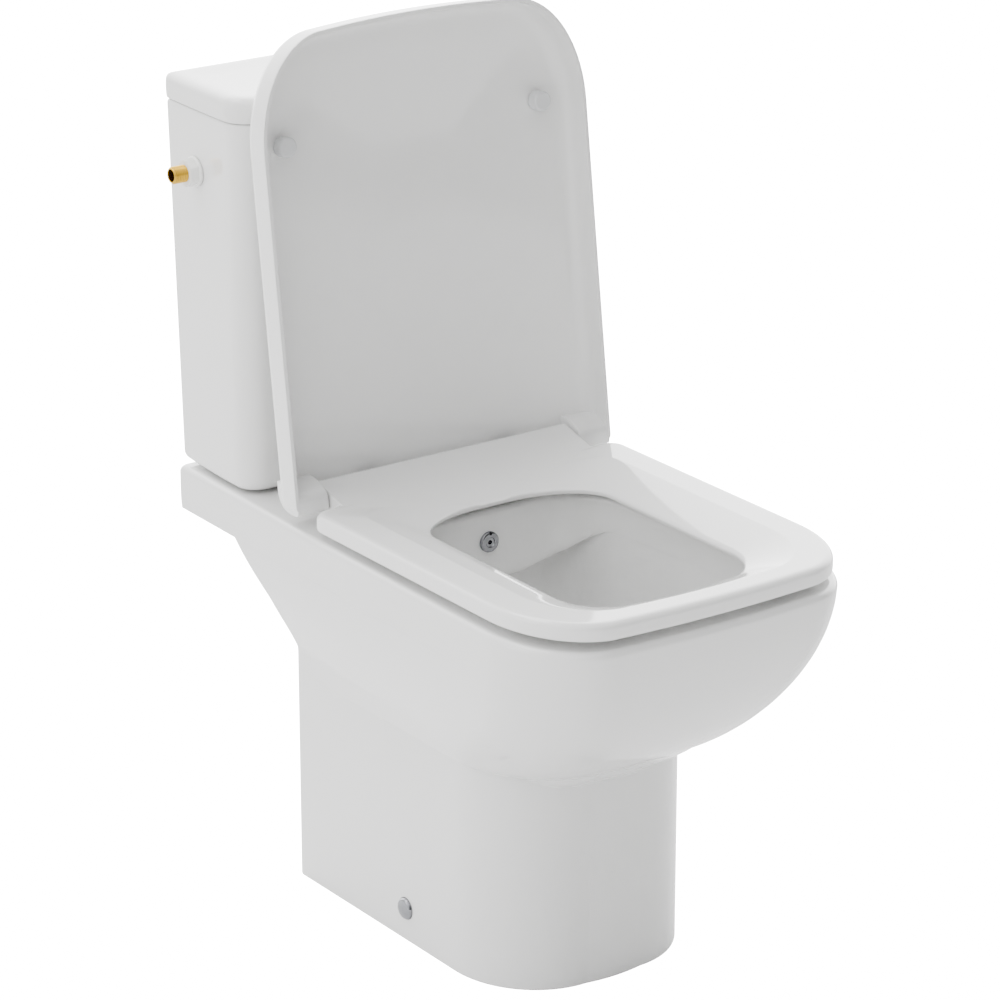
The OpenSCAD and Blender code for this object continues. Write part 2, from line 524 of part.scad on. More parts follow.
// ---- bidet nozzle ----
module bidet_nozzle() color([0.82, 0.83, 0.85]) along_y(0, 0, nozzle_z) difference() {
    union() {
        translate([0, 0, 21]) rotate_extrude($fn = 64) polygon([[0, 0], [7, 0], [9.4, 0.8],
            [10.3, 2], [10.3, 4], [0, 4]]);
        translate([0, 0, 24]) cylinder(r = 8, h = 72);
    }
    translate([0, 0, 15]) cylinder(r = 2.3, h = 12);
    translate([0, 0, 30]) cylinder(r = 4.2, h = 70);
    translate([0, 0, 26]) cylinder(r = 1, h = 10);
    translate([-1.2, -11, 20]) cube([2.4, 3.2, 6]);
}
module nozzle_nut() color([0.8, 0.62, 0.3]) along_y(0, 79, nozzle_z) difference() {
    hexagon(22, 7);
    translate([0, 0, -1]) cylinder(r = 8.1, h = 10);
}
pipe_end = nozzle_z - 46;
function bend(cy, cz, r, a0, a1, n) = [for (i = [0:n]) let (a = a0 + (a1 - a0) * i / n)
    [0, cy + r * cos(a), cz + r * sin(a)]];
module pipe_bends() difference() {
    sweep(concat([[0, 92, nozzle_z]], bend(108, nozzle_z - 14, 14, 90, 0, 4),
        bend(136, pipe_end + 14, 14, 180, 270, 4), [[0, 196, pipe_end]]), 4, 12);
    sweep(concat([[0, 91, nozzle_z]], bend(108, nozzle_z - 14, 14, 90, 0, 4),
        bend(136, pipe_end + 14, 14, 180, 270, 4), [[0, 199, pipe_end]]), 2.8, 12);
}
module bidet_pipe() color([0.72, 0.73, 0.75]) {
    resize([0, 0, 0]) pipe_bends();
    along_y(0, 195, pipe_end) tube(5, 3.2, 17);
}

pan();
floor_brackets();
floor_screws();
screw_caps();
cistern();
coupling_seal();
coupling_bolts();
coupling_washers();
coupling_nuts();
valve_body();
valve_gasket();
valve_nut();
valve_piston();
valve_seal();
fill_valve();
inlet_shank();
inlet_washer();
inlet_nut();
float_arm();
float_cup();
float_pin();
cistern_lid();
button_bezel();
bezel_nut();
full_button();
half_button();
full_rod();
half_rod();
seat();
seat_buffers();
cover();
cover_buffers();
hinge_posts();
hinge_pins();
hinge_bolts();
hinge_washers();
hinge_nuts();
bidet_nozzle();
nozzle_nut();
bidet_pipe();
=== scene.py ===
import json
import math
import bmesh
import bpy
import numpy as np
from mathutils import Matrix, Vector


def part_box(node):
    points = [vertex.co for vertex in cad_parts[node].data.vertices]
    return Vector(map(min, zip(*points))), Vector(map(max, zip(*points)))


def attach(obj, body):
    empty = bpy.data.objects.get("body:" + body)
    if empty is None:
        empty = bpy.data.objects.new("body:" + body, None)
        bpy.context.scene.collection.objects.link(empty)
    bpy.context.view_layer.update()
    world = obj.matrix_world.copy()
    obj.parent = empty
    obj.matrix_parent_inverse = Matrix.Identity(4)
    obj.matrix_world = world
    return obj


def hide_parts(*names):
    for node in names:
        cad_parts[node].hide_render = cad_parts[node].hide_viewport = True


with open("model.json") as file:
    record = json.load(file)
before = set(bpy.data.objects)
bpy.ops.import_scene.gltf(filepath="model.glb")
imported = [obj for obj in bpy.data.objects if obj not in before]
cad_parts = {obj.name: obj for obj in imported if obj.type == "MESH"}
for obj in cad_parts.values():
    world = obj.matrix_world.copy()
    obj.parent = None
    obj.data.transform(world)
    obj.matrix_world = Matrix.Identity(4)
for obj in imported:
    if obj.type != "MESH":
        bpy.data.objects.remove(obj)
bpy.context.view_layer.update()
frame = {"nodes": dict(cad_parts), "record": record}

MM = 0.001

# ---- main sizes, in mm: from the CAD boxes where a box gives them, and stated here where not ----


def mm_box(node):
    lo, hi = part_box(node)
    return np.array(lo) * 1000, np.array(hi) * 1000


pan_lo, pan_hi = mm_box("pan")
cis_lo, cis_hi = mm_box("cistern")
lid_lo = mm_box("cistern_lid")[0]
seat_lo, seat_hi = mm_box("seat")
cap_lo, cap_hi = mm_box("screw_caps")
noz_lo, noz_hi = mm_box("bidet_nozzle")
shank_lo, shank_hi = mm_box("inlet_shank")
nut_lo = mm_box("inlet_nut")[0]
pin_lo, pin_hi = mm_box("hinge_pins")
bezel_lo, bezel_hi = mm_box("button_bezel")
buf_lo = mm_box("seat_buffers")[0]

PAN_W, RIM_Z, RIM_FRONT = pan_hi[0], pan_hi[2], -pan_lo[1]
WALL_Y = pan_hi[1]
FOOT_W, FOOT_L, DECK_Z, FLARE_Z = 117.0, 180.5, 357.0, 215.0
HINGE_Y, HINGE_Z = (pin_lo[1] + pin_hi[1]) / 2, (pin_lo[2] + pin_hi[2]) / 2
PIN_R = (pin_hi[2] - pin_lo[2]) / 2
SEAT_Z, SEAT_W, SEAT_FRONT = RIM_Z + 9, seat_hi[0], -seat_lo[1]
SEAT_TOP = SEAT_Z + 16.6
POST_X = 77.5
COVER_W, COVER_FRONT, COVER_OPEN = 181.0, RIM_FRONT + 1.6, -97.6
VALVE_Y = (bezel_lo[1] + bezel_hi[1]) / 2
BEZEL_R = (bezel_hi[0] - bezel_lo[0]) / 2
LID_TOP = bezel_hi[2] - 3.2
INLET_Y, INLET_Z = (shank_lo[1] + shank_hi[1]) / 2, (shank_lo[2] + shank_hi[2]) / 2
SCREW_Y, SCREW_Z = (cap_lo[1] + cap_hi[1]) / 2, (cap_lo[2] + cap_hi[2]) / 2
NOZ_Y, NOZ_Z = noz_lo[1], (noz_lo[2] + noz_hi[2]) / 2

# ---- camera ----
scene = bpy.context.scene
camera = bpy.data.objects.new("camera", bpy.data.cameras.new("camera"))
scene.collection.objects.link(camera)
scene.camera = camera
camera.data.lens = 151.93
camera.data.sensor_width = 36
camera.location = (-2.13768, -3.00413, 1.76961)
back = Vector((-0.54366, -0.76557, 0.34399))
camera.rotation_euler = (-back).to_track_quat("-Z", "Y").to_euler()

# ---- materials ----


def nodes_of(name):
    mat = bpy.data.materials.new(name)
    mat.use_nodes = True
    tree = mat.node_tree
    return mat, tree, tree.nodes["Principled BSDF"]


def noise(tree, scale, detail=2.0, rough=0.5, stretch=None):
    coord = tree.nodes.new("ShaderNodeTexCoord")
    out = coord.outputs["Object"]
    if stretch:
        mapping = tree.nodes.new("ShaderNodeMapping")
        mapping.inputs["Scale"].default_value = stretch
        tree.links.new(out, mapping.inputs["Vector"])
        out = mapping.outputs["Vector"]
    tex = tree.nodes.new("ShaderNodeTexNoise")
    tex.inputs["Scale"].default_value = scale
    tex.inputs["Detail"].default_value = detail
    tex.inputs["Roughness"].default_value = rough
    tree.links.new(out, tex.inputs["Vector"])
    return tex.outputs["Fac"]


def spread(tree, value, low, high):
    span = tree.nodes.new("ShaderNodeMapRange")
    span.inputs["From Min"].default_value = 0.3
    span.inputs["From Max"].default_value = 0.7
    span.inputs["To Min"].default_value = low
    span.inputs["To Max"].default_value = high
    tree.links.new(value, span.inputs["Value"])
    return span.outputs["Result"]


def surface(name, colour, vary, tint_scale, rough, bumps, metallic=0.0, coat=0.0, stretch=None,
            **more):
    """A material with cloudy tint, uneven roughness and a stack of fine bumps (scale, height in mm)."""
    mat, tree, shader = nodes_of(name)
    tint = spread(tree, noise(tree, tint_scale, 3, 0.55), 0, 1)
    mix = tree.nodes.new("ShaderNodeMix")
    mix.data_type = "RGBA"
    mix.inputs["A"].default_value = (*colour, 1)
    mix.inputs["B"].default_value = (*[c * v for c, v in zip(colour, vary)], 1)
    tree.links.new(tint, mix.inputs["Factor"])
    tree.links.new(mix.outputs["Result"], shader.inputs["Base Color"])
    wear = spread(tree, noise(tree, tint_scale * 3.1, 4, 0.6, stretch), rough[0], rough[1])
    tree.links.new(wear, shader.inputs["Roughness"])
    shader.inputs["Metallic"].default_value = metallic
    shader.inputs["Coat Weight"].default_value = coat
    shader.inputs["Coat Roughness"].default_value = 0.04
    for key, value in more.items():
        shader.inputs[key.replace("_", " ").title().replace("Ior", "IOR")].default_value = value
    last = None
    for scale, height in bumps:
        bump = tree.nodes.new("ShaderNodeBump")
        bump.inputs["Strength"].default_value = 1.0
        bump.inputs["Distance"].default_value = height * MM
        tree.links.new(noise(tree, scale, 2, 0.5, stretch), bump.inputs["Height"])
        if last:
            tree.links.new(last, bump.inputs["Normal"])
        last = bump.outputs["Normal"]
    if last:
        tree.links.new(last, shader.inputs["Normal"])
        tree.links.new(last, shader.inputs["Coat Normal"])
    return mat


MAT = {
    "ceramic": surface("glazed_ceramic", (0.77, 0.77, 0.765), (0.985, 0.985, 0.98), 7, (0.04, 0.09),
                       [(16, 0.10), (260, 0.008)], coat=0.6),
    "seatwhite": surface("gloss_urea_plastic", (0.8, 0.8, 0.795), (0.99, 0.99, 0.985), 5, (0.05, 0.1),
                         [(22, 0.04), (700, 0.004)], coat=0.35),
    "nylon": surface("white_nylon", (0.86, 0.86, 0.84), (0.97, 0.97, 0.96), 60, (0.32, 0.44),
                     [(900, 0.012)]),
    "fitting": surface("pale_grey_plastic", (0.66, 0.69, 0.72), (0.96, 0.96, 0.97), 40, (0.3, 0.42),
                       [(800, 0.012)]),
    "blue": surface("blue_plastic", (0.08, 0.2, 0.42), (0.9, 0.92, 0.95), 40, (0.3, 0.4),
                    [(800, 0.012)]),
    "rubber": surface("black_rubber", (0.02, 0.02, 0.022), (0.8, 0.8, 0.8), 90, (0.6, 0.75),
                      [(1200, 0.02)]),
    "redrubber": surface("red_rubber", (0.3, 0.035, 0.02), (0.85, 0.85, 0.85), 90, (0.55, 0.7),
                         [(1200, 0.02)]),
    "buffer": surface("clear_soft_buffer", (0.74, 0.75, 0.76), (0.98, 0.98, 0.98), 70, (0.16, 0.26),
                      [(1000, 0.004)], transmission_weight=0.2, ior=1.42),
    "brass": surface("turned_brass", (0.58, 0.35, 0.03), (0.88, 0.84, 0.76), 60, (0.16, 0.26),
                     [(900, 0.002)], metallic=1.0, stretch=(6, 1, 1)),
    "chrome": surface("polished_chrome", (0.28, 0.285, 0.3), (0.95, 0.95, 0.96), 50, (0.05, 0.12),
                      [(500, 0.002)], metallic=1.0),
    "chromeplastic": surface("plated_plastic", (0.66, 0.67, 0.69), (0.96, 0.96, 0.97), 45, (0.07, 0.15),
                             [(120, 0.01), (900, 0.003)], metallic=1.0),
    "steel": surface("plated_steel", (0.5, 0.51, 0.53), (0.88, 0.88, 0.9), 80, (0.25, 0.4),
                     [(1400, 0.008)], metallic=1.0, stretch=(1, 1, 7)),
}

# ---- outlines: right half, from the middle of the back to the middle of the front ----


def arc(cx, cy, rx, ry, a0, a1, n):
    return [(cx + rx * math.cos(math.radians(a0 + (a1 - a0) * i / n)),
             cy + ry * math.sin(math.radians(a0 + (a1 - a0) * i / n))) for i in range(n + 1)]


def outline(w, wb, yb, yf, rb, rx, ry, bow, rbx=0, n=(6, 8, 16, 16, 10)):
    ys, ye, rc = yb - rb, yf + bow + ry, rbx or rb
    back_n, corner_n, side_n, front_n, nose_n = n
    pts = [((wb - rc) * i / back_n, yb) for i in range(back_n)]
    pts += arc(wb - rc, yb - rb, rc, rb, 90, 0, corner_n)
    for i in range(1, side_n):
        t = i / side_n
        pts.append((wb + (w - wb) * math.sin(math.pi / 2 * t), ys + (ye - ys) * t))
    pts += arc(w - rx, ye, rx, ry, 0, -90, front_n)
    for i in range(1, nose_n + 1):
        t = 1 - i / nose_n
        pts.append(((w - rx) * t, yf + bow * t * t))
    return pts


def ring(half, z):
    """Whole closed ring at height z; z may be one number or one for each point of the half."""
    heights = list(z) if hasattr(z, "__len__") else [z] * len(half)
    pts = [(p[0], p[1], h) for p, h in zip(half, heights)]
    return pts + [(-p[0], p[1], p[2]) for p in pts[-2:0:-1]]


def step(t):
    c = min(1.0, max(0.0, t))
    return c * c * (3 - 2 * c)


def mesh_object(name, verts, faces):
    mesh = bpy.data.meshes.new(name)
    mesh.from_pydata([(x * MM, y * MM, z * MM) for x, y, z in verts], [], faces)
    bm = bmesh.new()
    bm.from_mesh(mesh)
    bmesh.ops.remove_doubles(bm, verts=bm.verts, dist=2e-6)
    bmesh.ops.recalc_face_normals(bm, faces=bm.faces)
    bm.to_mesh(mesh)
    bm.free()
    obj = bpy.data.objects.new(name, mesh)
    scene.collection.objects.link(obj)
    return obj


def skin(name, rows, joined=False):
    """Grid of quads over closed rows of points, capped at both ends or joined end to end."""
    n, m = len(rows[0]), len(rows)
    faces = []
    for j in range(m if joined else m - 1):
        a, b = j * n, (j + 1) % m * n
        faces += [(a + i, a + (i + 1) % n, b + (i + 1) % n, b + i) for i in range(n)]
    if not joined:
        faces += [tuple(range(n)), tuple((m - 1) * n + i for i in range(n))]
    return mesh_object(name, [p for row in rows for p in row], faces)


def turned(name, profile, place, n=72):
    """Solid of revolution: profile is (radius, height) pairs; place maps local x, y, z to the frame."""
    rows = [[place(r * math.cos(2 * math.pi * i / n), r * math.sin(2 * math.pi * i / n), h)
             for i in range(n)] for r, h in profile]
    return skin(name, rows)


def rounded(profile, radius, steps=4):
    """Rounds the inner corners of an open profile."""
    out = [profile[0]]
    for a, b, c in zip(profile, profile[1:], profile[2:]):
        a, b, c = np.array(a, float), np.array(b, float), np.array(c, float)
        la, lc = np.linalg.norm(a - b), np.linalg.norm(c - b)
        d = min(radius, la * 0.45, lc * 0.45)
        p, q = b + (a - b) / la * d, b + (c - b) / lc * d
        for i in range(steps + 1):
            t = i / steps
            out.append(tuple((1 - t) ** 2 * p + 2 * t * (1 - t) * b + t * t * q))
    return out + [profile[-1]]


def box_cut(lo, hi):
    x0, y0, z0 = lo
    x1, y1, z1 = hi
    rows = [[(x0, y0, z), (x1, y0, z), (x1, y1, z), (x0, y1, z)] for z in (z0, z1)]
    return skin("cut", rows)


def rod_cut(start, axis, r, length, n=64):
    x, y, z = start
    places = {"x": lambda a, b, h: (x + h, y + a, z + b), "y": lambda a, b, h: (x + a, y + h, z + b),
              "z": lambda a, b, h: (x + a, y + b, z + h)}
    return turned("cut", [(r, 0), (r, length)], places[axis], n)


def combine(obj, others, how):
    for other in others:
        modifier = obj.modifiers.new("bool", "BOOLEAN")
        modifier.operation = how
        modifier.solver = "EXACT"
        modifier.object = other
    depsgraph = bpy.context.evaluated_depsgraph_get()
    mesh = bpy.data.meshes.new_from_object(obj.evaluated_get(depsgraph))
    obj.modifiers.clear()
    old = obj.data
    obj.data = mesh
    bpy.data.meshes.remove(old)
    for other in others:
        bpy.data.objects.remove(other)
    return obj


def about_hinge(obj, angle):
    turn = math.radians(angle)
    for v in obj.data.vertices:
        y, z = v.co.y - HINGE_Y * MM, v.co.z - HINGE_Z * MM
        v.co.y = HINGE_Y * MM + y * math.cos(turn) - z * math.sin(turn)
        v.co.z = HINGE_Z * MM + y * math.sin(turn) + z * math.cos(turn)


def done(obj, name, slot, body, stands_for=(), sharp=38):
    obj.name = name
    obj.data.name = name
    obj.data.materials.clear()
    obj.data.materials.append(MAT[slot])
    obj.data.shade_smooth()
    obj.data.set_sharp_from_angle(angle=math.radians(sharp))
    weighted = obj.modifiers.new("weighted", "WEIGHTED_NORMAL")
    weighted.keep_sharp = True
    if stands_for:
        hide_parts(*stands_for)
    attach(obj, body)
    return obj


# ---- pan ----
FLARE_H = RIM_Z - FLARE_Z
FOOT_WALL = 13
SHELF_EDGE_Z, SHELF_DIP, LEDGE, LEDGE_DROP, BOWL_FLOOR_Z = 376, 41, 35, 20, 156
OUTLET_Z, OUTLET_R = 185, 43.9


def pan_outline(z, inset):
    t = min(1.0, max(0.0, (z - FLARE_Z) / FLARE_H))
    wide = math.sin(math.pi / 2 * t) ** 1.11
    k = (1 - (1 - t) ** 2) ** 0.71
    tb = min(1.0, max(0.0, (z - 240) / 132))
    back_wide = math.sin(math.pi / 2 * tb) ** 1.15
    if z >= DECK_Z:
        rear = WALL_Y
    else:
        rear = FOOT_L + 28 * (max(0.0, z - 296) / 56) ** 1.4
    return outline(FOOT_W + (PAN_W - FOOT_W) * wide - inset,
                   FOOT_W + 1 + (PAN_W - 12 - FOOT_W) * back_wide - inset,
                   rear - inset, -FOOT_L - (RIM_FRONT - FOOT_L) * k + inset, 7 - inset * 0.4,
                   86 - 12 * k - 40 * k * (1 - k) - inset, 92 + 11 * k + 57 * k * (1 - k) - inset,
                   3 + 1.5 * k, n=(8, 8, 26, 20, 12))


def bowl_outline(z, shelf, grow=0.0):
    """Inside of the bowl at height z; shelf is how far its back stands under the rear shelf."""
    k = math.sin(math.pi / 2 * min(1.0, max(0.0, (z - 150) / 190)) ** 0.72)
    w = 30 + 92 * k + grow
    back_y = 25 + shelf + grow
    return outline(w, w - 8 * k, back_y, -30 - 260 * k - grow, w * 0.5, 20 + 42 * k + grow,
                   30 + 62 * k + grow, 8 * k, n=(8, 8, 26, 20, 12))


def pan_outside():
    rows = [ring(pan_outline(0, 1.5), 0)]
    rows += [ring(pan_outline(z, i), z) for z, i in ((0.7, 0.5), (2, 0))]
    rows += [ring(pan_outline(z, 0), z) for z in np.linspace(12, 205, 14)]
    flare = FLARE_Z + (DECK_Z - 1 - FLARE_Z) * np.linspace(0, 1, 36) ** 1.25
    rows += [ring(pan_outline(z, 0), z) for z in flare]
    rows += [ring(pan_outline(z, 0), z) for z in np.linspace(DECK_Z, RIM_Z - 8, 9)]
    rows += [ring(pan_outline(RIM_Z - h, i), RIM_Z - h) for i, h in
             [(7 - 7 * math.cos(a), 7 - 7 * math.sin(a)) for a in np.linspace(0.15, math.pi / 2, 7)]]
    return rows


def shelf_way(half):
    """How far each outline point takes part in the rear shelf (1 at the back, 0 along the sides)."""
    return [step((p[1] + 22) / 40) if p[0] < 200 else 0 for p in half]


def pan_inside():
    top = bowl_outline(RIM_Z, 0)
    part = shelf_way(top)
    edge = [SHELF_EDGE_Z - SHELF_DIP * s * step(1.25 - abs(p[0]) / 130) for s, p in zip(part, top)]
    rows = []
    for a in np.linspace(0, math.pi / 2, 6):
        rows.append(ring(bowl_outline(RIM_Z, 0, 5 - 5 * math.sin(a)), RIM_Z - 5 + 5 * math.cos(a)))
    for t in np.linspace(0.12, 1, 9):
        heights = [RIM_Z - 5 + (e - RIM_Z + 5) * t for e in edge]
        rows.append(ring([bowl_outline(z, 0)[i] for i, z in enumerate(heights)], heights))
    lip = [(2.2, 4.5), (6, 7), (12, 7.6), (20, 7.2), (29, 8.5), (34, 13), (LEDGE, LEDGE_DROP)]
    for out, down in lip:
        heights = [e - down for e in edge]
        rows.append(ring([bowl_outline(z, out * s)[i] for i, (z, s) in enumerate(zip(heights, part))],
                         heights))
    low = [e - LEDGE_DROP for e in edge]
    for t in np.linspace(0.05, 1, 26):
        heights = [e + (BOWL_FLOOR_Z - e) * t for e in low]
        rows.append(ring([bowl_outline(z, LEDGE * s)[i] for i, (z, s) in enumerate(zip(heights, part))],
                         heights))
    dip = [(p[0] * 0.6, 15 + (p[1] - 15) * 0.6) for p in bowl_outline(BOWL_FLOOR_Z, LEDGE)]
    rows.append(ring(dip, BOWL_FLOOR_Z - 5))
    return rows


pan = skin("pan_visual", pan_outside() + pan_inside())
foot_w, foot_l = FOOT_W - FOOT_WALL, FOOT_L - FOOT_WALL
foot_rows = [ring(outline(foot_w - i, foot_w - i, foot_l - i, i - foot_l, 14, 74 - i / 3, 80 - i / 3, 3), z)
             for z, i in ((-2, 0), (100, 0), (124, 6), (132, 16))]
screw_holes = [rod_cut((s * (FOOT_W - 1.2) - 5, SCREW_Y, SCREW_Z), "x", 11.2, 10) for s in (1, -1)]
pan = combine(pan, [
    skin("cut", foot_rows),
    box_cut((-101, 79, 304), (101, 259, 345)),
    box_cut((-16, 79, 340), (16, 179, RIM_Z - 15)),
    rod_cut((0, VALVE_Y, RIM_Z - 29), "z", 47, 40, 96),
] + screw_holes, "DIFFERENCE")
pan = combine(pan, [rod_cut((s * POST_X, HINGE_Y, 340), "z", 6.5, 80) for s in (1, -1)], "DIFFERENCE")
pan = combine(pan, [rod_cut((0, 10, NOZ_Z), "y", 8.3, 90)], "DIFFERENCE")
done(pan, "pan_visual", "ceramic", "pan", ["pan"], sharp=34)

spigot_start, spigot_end = (OUTLET_R, 178), (OUTLET_R, 255)
spigot = rounded([spigot_start, spigot_end, (51, 255), (51, 188), (56, 181), (57, 178)], 2.5)
outlet = turned("outlet_visual", spigot + [spigot_start], lambda a, b, h: (a, h, OUTLET_Z + b), 96)
done(outlet, "outlet_visual", "ceramic", "pan")

# ---- screw caps ----
for side, tag in ((1, "right"), (-1, "left")):
    dome = rounded([(8.3, 0), (10.6, 0), (10.7, 3.2), (9.4, 5.4), (5.2, 6.6), (0.05, 7)], 1.6)
    cap = turned("cap", dome,
                 lambda a, b, h, s=side: (s * (FOOT_W - 2 + h), SCREW_Y + a, SCREW_Z + b))
    done(cap, "screw_cap_" + tag, "chrome", "pan", ["screw_caps"])

# ---- cistern ----


def cistern_outline(z, inset):
    k = (z - cis_lo[2]) / (cis_hi[2] - cis_lo[2])
    top_w = cis_hi[0]
    return outline(168 + (top_w - 168) * k - inset, 163 + (top_w - 2.5 - 163) * k - inset, WALL_Y - inset,
                   177 - 8 * k + inset, 6, 26 - min(inset, 9), 24 - min(inset, 9), 3, n=(10, 6, 12, 14, 12))


low, high, base_r, wall = cis_lo[2], cis_hi[2], 10, 9
rows = []
for a in np.linspace(math.pi / 2, 0, 8):
    z = low + base_r - base_r * math.sin(a)
    rows.append(ring(cistern_outline(z, base_r - base_r * math.cos(a)), z))
rows += [ring(cistern_outline(z, 0), z) for z in np.linspace(low + 30, high - 4, 16)]
rim = [(0.3, 1.6), (1.3, 0.4), (2.6, 0), (6.4, 0), (7.8, 0.4), (8.7, 1.6), (wall, 3.5)]
rows += [ring(cistern_outline(high - h, i), high - h) for i, h in rim]
rows += [ring(cistern_outline(z, wall), z) for z in np.linspace(high - 20, low + 28, 10)]
rows += [ring(cistern_outline(z, i), z) for z, i in ((low + 20, 10), (low + 13, 14), (low + 10.2, 22))]
cistern = skin("cistern_visual", rows)
cistern = combine(cistern, [rod_cut((0, VALVE_Y, low - 5), "z", 30, 30),
                            rod_cut((76, VALVE_Y, low - 5), "z", 5.5, 30),
                            rod_cut((-76, VALVE_Y, low - 5), "z", 5.5, 30),
                            rod_cut((-200, INLET_Y, INLET_Z), "x", 9.1, 60)], "DIFFERENCE")
done(cistern, "cistern_visual", "ceramic", "pan", ["cistern"])

# ---- lid, with a square lip that stands in the cistern ----
LIP_W, LIP_L, LIP_WALL, LIP_DROP = 157, 49, 7, 9.6
LID_Z = lid_lo[2] + LIP_DROP


def lid_outline(inset):
    w = cis_hi[0] - inset
    return outline(w, w - 2.5, WALL_Y + 1 - max(inset, 0), 168 + inset, 8 - min(inset, 6),
                   28 - min(inset, 12), 26 - min(inset, 12), 3, n=(10, 6, 12, 14, 12))


lid_depth = LID_TOP - LID_Z
edge = [(12, 0.5), (4, 0), (1.5, 0), (0.2, 0.3), (-0.9, 1.2), (-1.6, 3), (-2.3, 7), (-2.6, 12),
        (-2.4, 16), (-1.9, 18.6), (-0.9, 20.6), (0.8, 22.3), (3.2, 23.6), (6.5, 24.3), (11, 24.5),
        (17, 24.45), (26, 24.1), (44, 23.9)]
rows = [ring(lid_outline(i), LID_Z + h * lid_depth / 24.5) for i, h in edge]
lid = skin("lid_visual", rows)
recess = [ring(lid_outline(i), LID_Z + h) for i, h in ((14, -1), (14.5, 6), (16, 11), (20, 14.2), (26, 15))]
lip_mid = (WALL_Y + 172) / 2
lid = combine(lid, [skin("cut", recess)], "DIFFERENCE")
frame_lip = box_cut((-LIP_W, lip_mid - LIP_L, LID_Z - LIP_DROP), (LIP_W, lip_mid + LIP_L, LID_Z + 15.2))
way_w, way_l = LIP_W - LIP_WALL, LIP_L - LIP_WALL
lip_way = box_cut((-way_w, lip_mid - way_l, LID_Z - 12), (way_w, lip_mid + way_l, LID_Z + 16))
frame_lip = combine(frame_lip, [lip_way], "DIFFERENCE")
lid = combine(lid, [rod_cut((0, VALVE_Y, LID_Z - 1), "z", BEZEL_R - 3.8, 60, 96)], "DIFFERENCE")
done(lid, "lid_visual", "ceramic", "lid", ["cistern_lid"])
done(frame_lip, "lid_lip_visual", "ceramic", "lid")

# ---- push buttons ----
bezel = turned("bezel", rounded([(BEZEL_R - 7, bezel_lo[2]), (BEZEL_R - 4, bezel_lo[2]),
                                 (BEZEL_R - 4, LID_TOP + 0.2), (BEZEL_R, LID_TOP + 0.2),
                                 (BEZEL_R, LID_TOP + 1.5), (BEZEL_R - 1.6, LID_TOP + 3.1),
                                 (BEZEL_R - 5, LID_TOP + 3.2), (BEZEL_R - 7, LID_TOP + 2)], 0.7)
               + [(BEZEL_R - 7, bezel_lo[2])], lambda a, b, h: (a, VALVE_Y + b, h), 120)
done(bezel, "bezel_visual", "chromeplastic", "lid", ["button_bezel"])
for side, tag in ((1, "full"), (-1, "half")):
    top_r = BEZEL_R - 7.6
    button = turned("button", rounded([(0.02, LID_TOP - 12), (top_r, LID_TOP - 12), (top_r, LID_TOP + 2.2),
                                       (top_r - 1.6, LID_TOP + 3.5), (top_r - 8, LID_TOP + 3.1),
                                       (0.02, LID_TOP + 2.6)], 1), lambda a, b, h: (a, VALVE_Y + b, h), 96)
    x0, x1 = (-60, 0.5) if side > 0 else (-0.5, 60)
    cut = box_cut((x0, VALVE_Y - 60, LID_TOP - 20), (x1, VALVE_Y + 60, LID_TOP + 20))
    combine(button, [cut], "DIFFERENCE")
    done(button, tag + "_button_visual", "chromeplastic", tag + "_button", [tag + "_button"])

# ---- water inlet ----
THREAD_R, CORE_R, BORE_R, PITCH, TURNS = 8.25, 7.5, 5.5, 1.8, 8
thread = []
for i in range(TURNS):
    z = 0.8 + i * PITCH
    thread += [(CORE_R, z), (THREAD_R, z + 0.45), (THREAD_R, z + 0.75), (CORE_R, z + 1.2)]
length = shank_hi[0] - shank_lo[0]
shank_shape = [(BORE_R, length), (BORE_R, 0.7), (5.9, 0), (7.1, 0)] + thread
shank_shape += [(CORE_R, 15.6), (CORE_R, length), (BORE_R, length)]
shank = turned("shank", shank_shape, lambda a, b, h: (shank_lo[0] + h, INLET_Y + a, INLET_Z + b), 64)
done(shank, "inlet_shank_visual", "brass", "pan", ["inlet_shank"], sharp=60)
# a thin black disc, just wider than the bore, closes it 16 mm in: painted shade down the bore, not a part
# of the inlet
bore_shade_disc = turned("bore", [(5.52, 0), (5.52, 0.6), (0.02, 0.6)],
              lambda a, b, h: (shank_lo[0] + 16 + h, INLET_Y + a, INLET_Z + b), 48)
done(bore_shade_disc, "inlet_bore_shade_disc", "rubber", "pan")

NUT_FLATS = 24.0
hex_rows = []
for r_cut, h in ((0.92, 0), (1.0, 1.3), (1.0, 8.6)):
    row = []
    for i in range(96):
        a = 2 * math.pi * i / 96
        flat = NUT_FLATS / 2 / math.cos((a + math.pi / 6) % (math.pi / 3) - math.pi / 6)
        r = min(flat, NUT_FLATS / 2 / math.cos(math.pi / 6) * r_cut * 0.985)
        row.append((nut_lo[0] + h, INLET_Y + r * math.cos(a), INLET_Z + r * math.sin(a)))
    hex_rows.append(row)
flange_shape = rounded([(7.7, 8.6), (13.4, 8.6), (14.55, 9.4), (14.6, 11.6), (7.7, 11.6)], 0.6)
hexnut = skin("hex", hex_rows)
hexnut = combine(hexnut, [rod_cut((nut_lo[0] - 2, INLET_Y, INLET_Z), "x", 7.7, 20)], "DIFFERENCE")
done(hexnut, "inlet_nut_visual", "nylon", "pan", ["inlet_nut"])
flange = turned("flange", flange_shape + [(7.7, 8.6)],
                lambda a, b, h: (nut_lo[0] + h, INLET_Y + a, INLET_Z + b))
done(flange, "inlet_flange_visual", "nylon", "pan")

# ---- seat ----
HOLE_W, HOLE_L, HOLE_Y = 99.0, 144.0, -129.0
RES = (10, 14, 22, 20, 12)


def hole_outline(g):
    return outline(HOLE_W + g, HOLE_W + g, HOLE_Y + HOLE_L + g, HOLE_Y - HOLE_L - g, 48 + g, 50 + g, 54 + g,
                   4, 80 + g, n=RES)


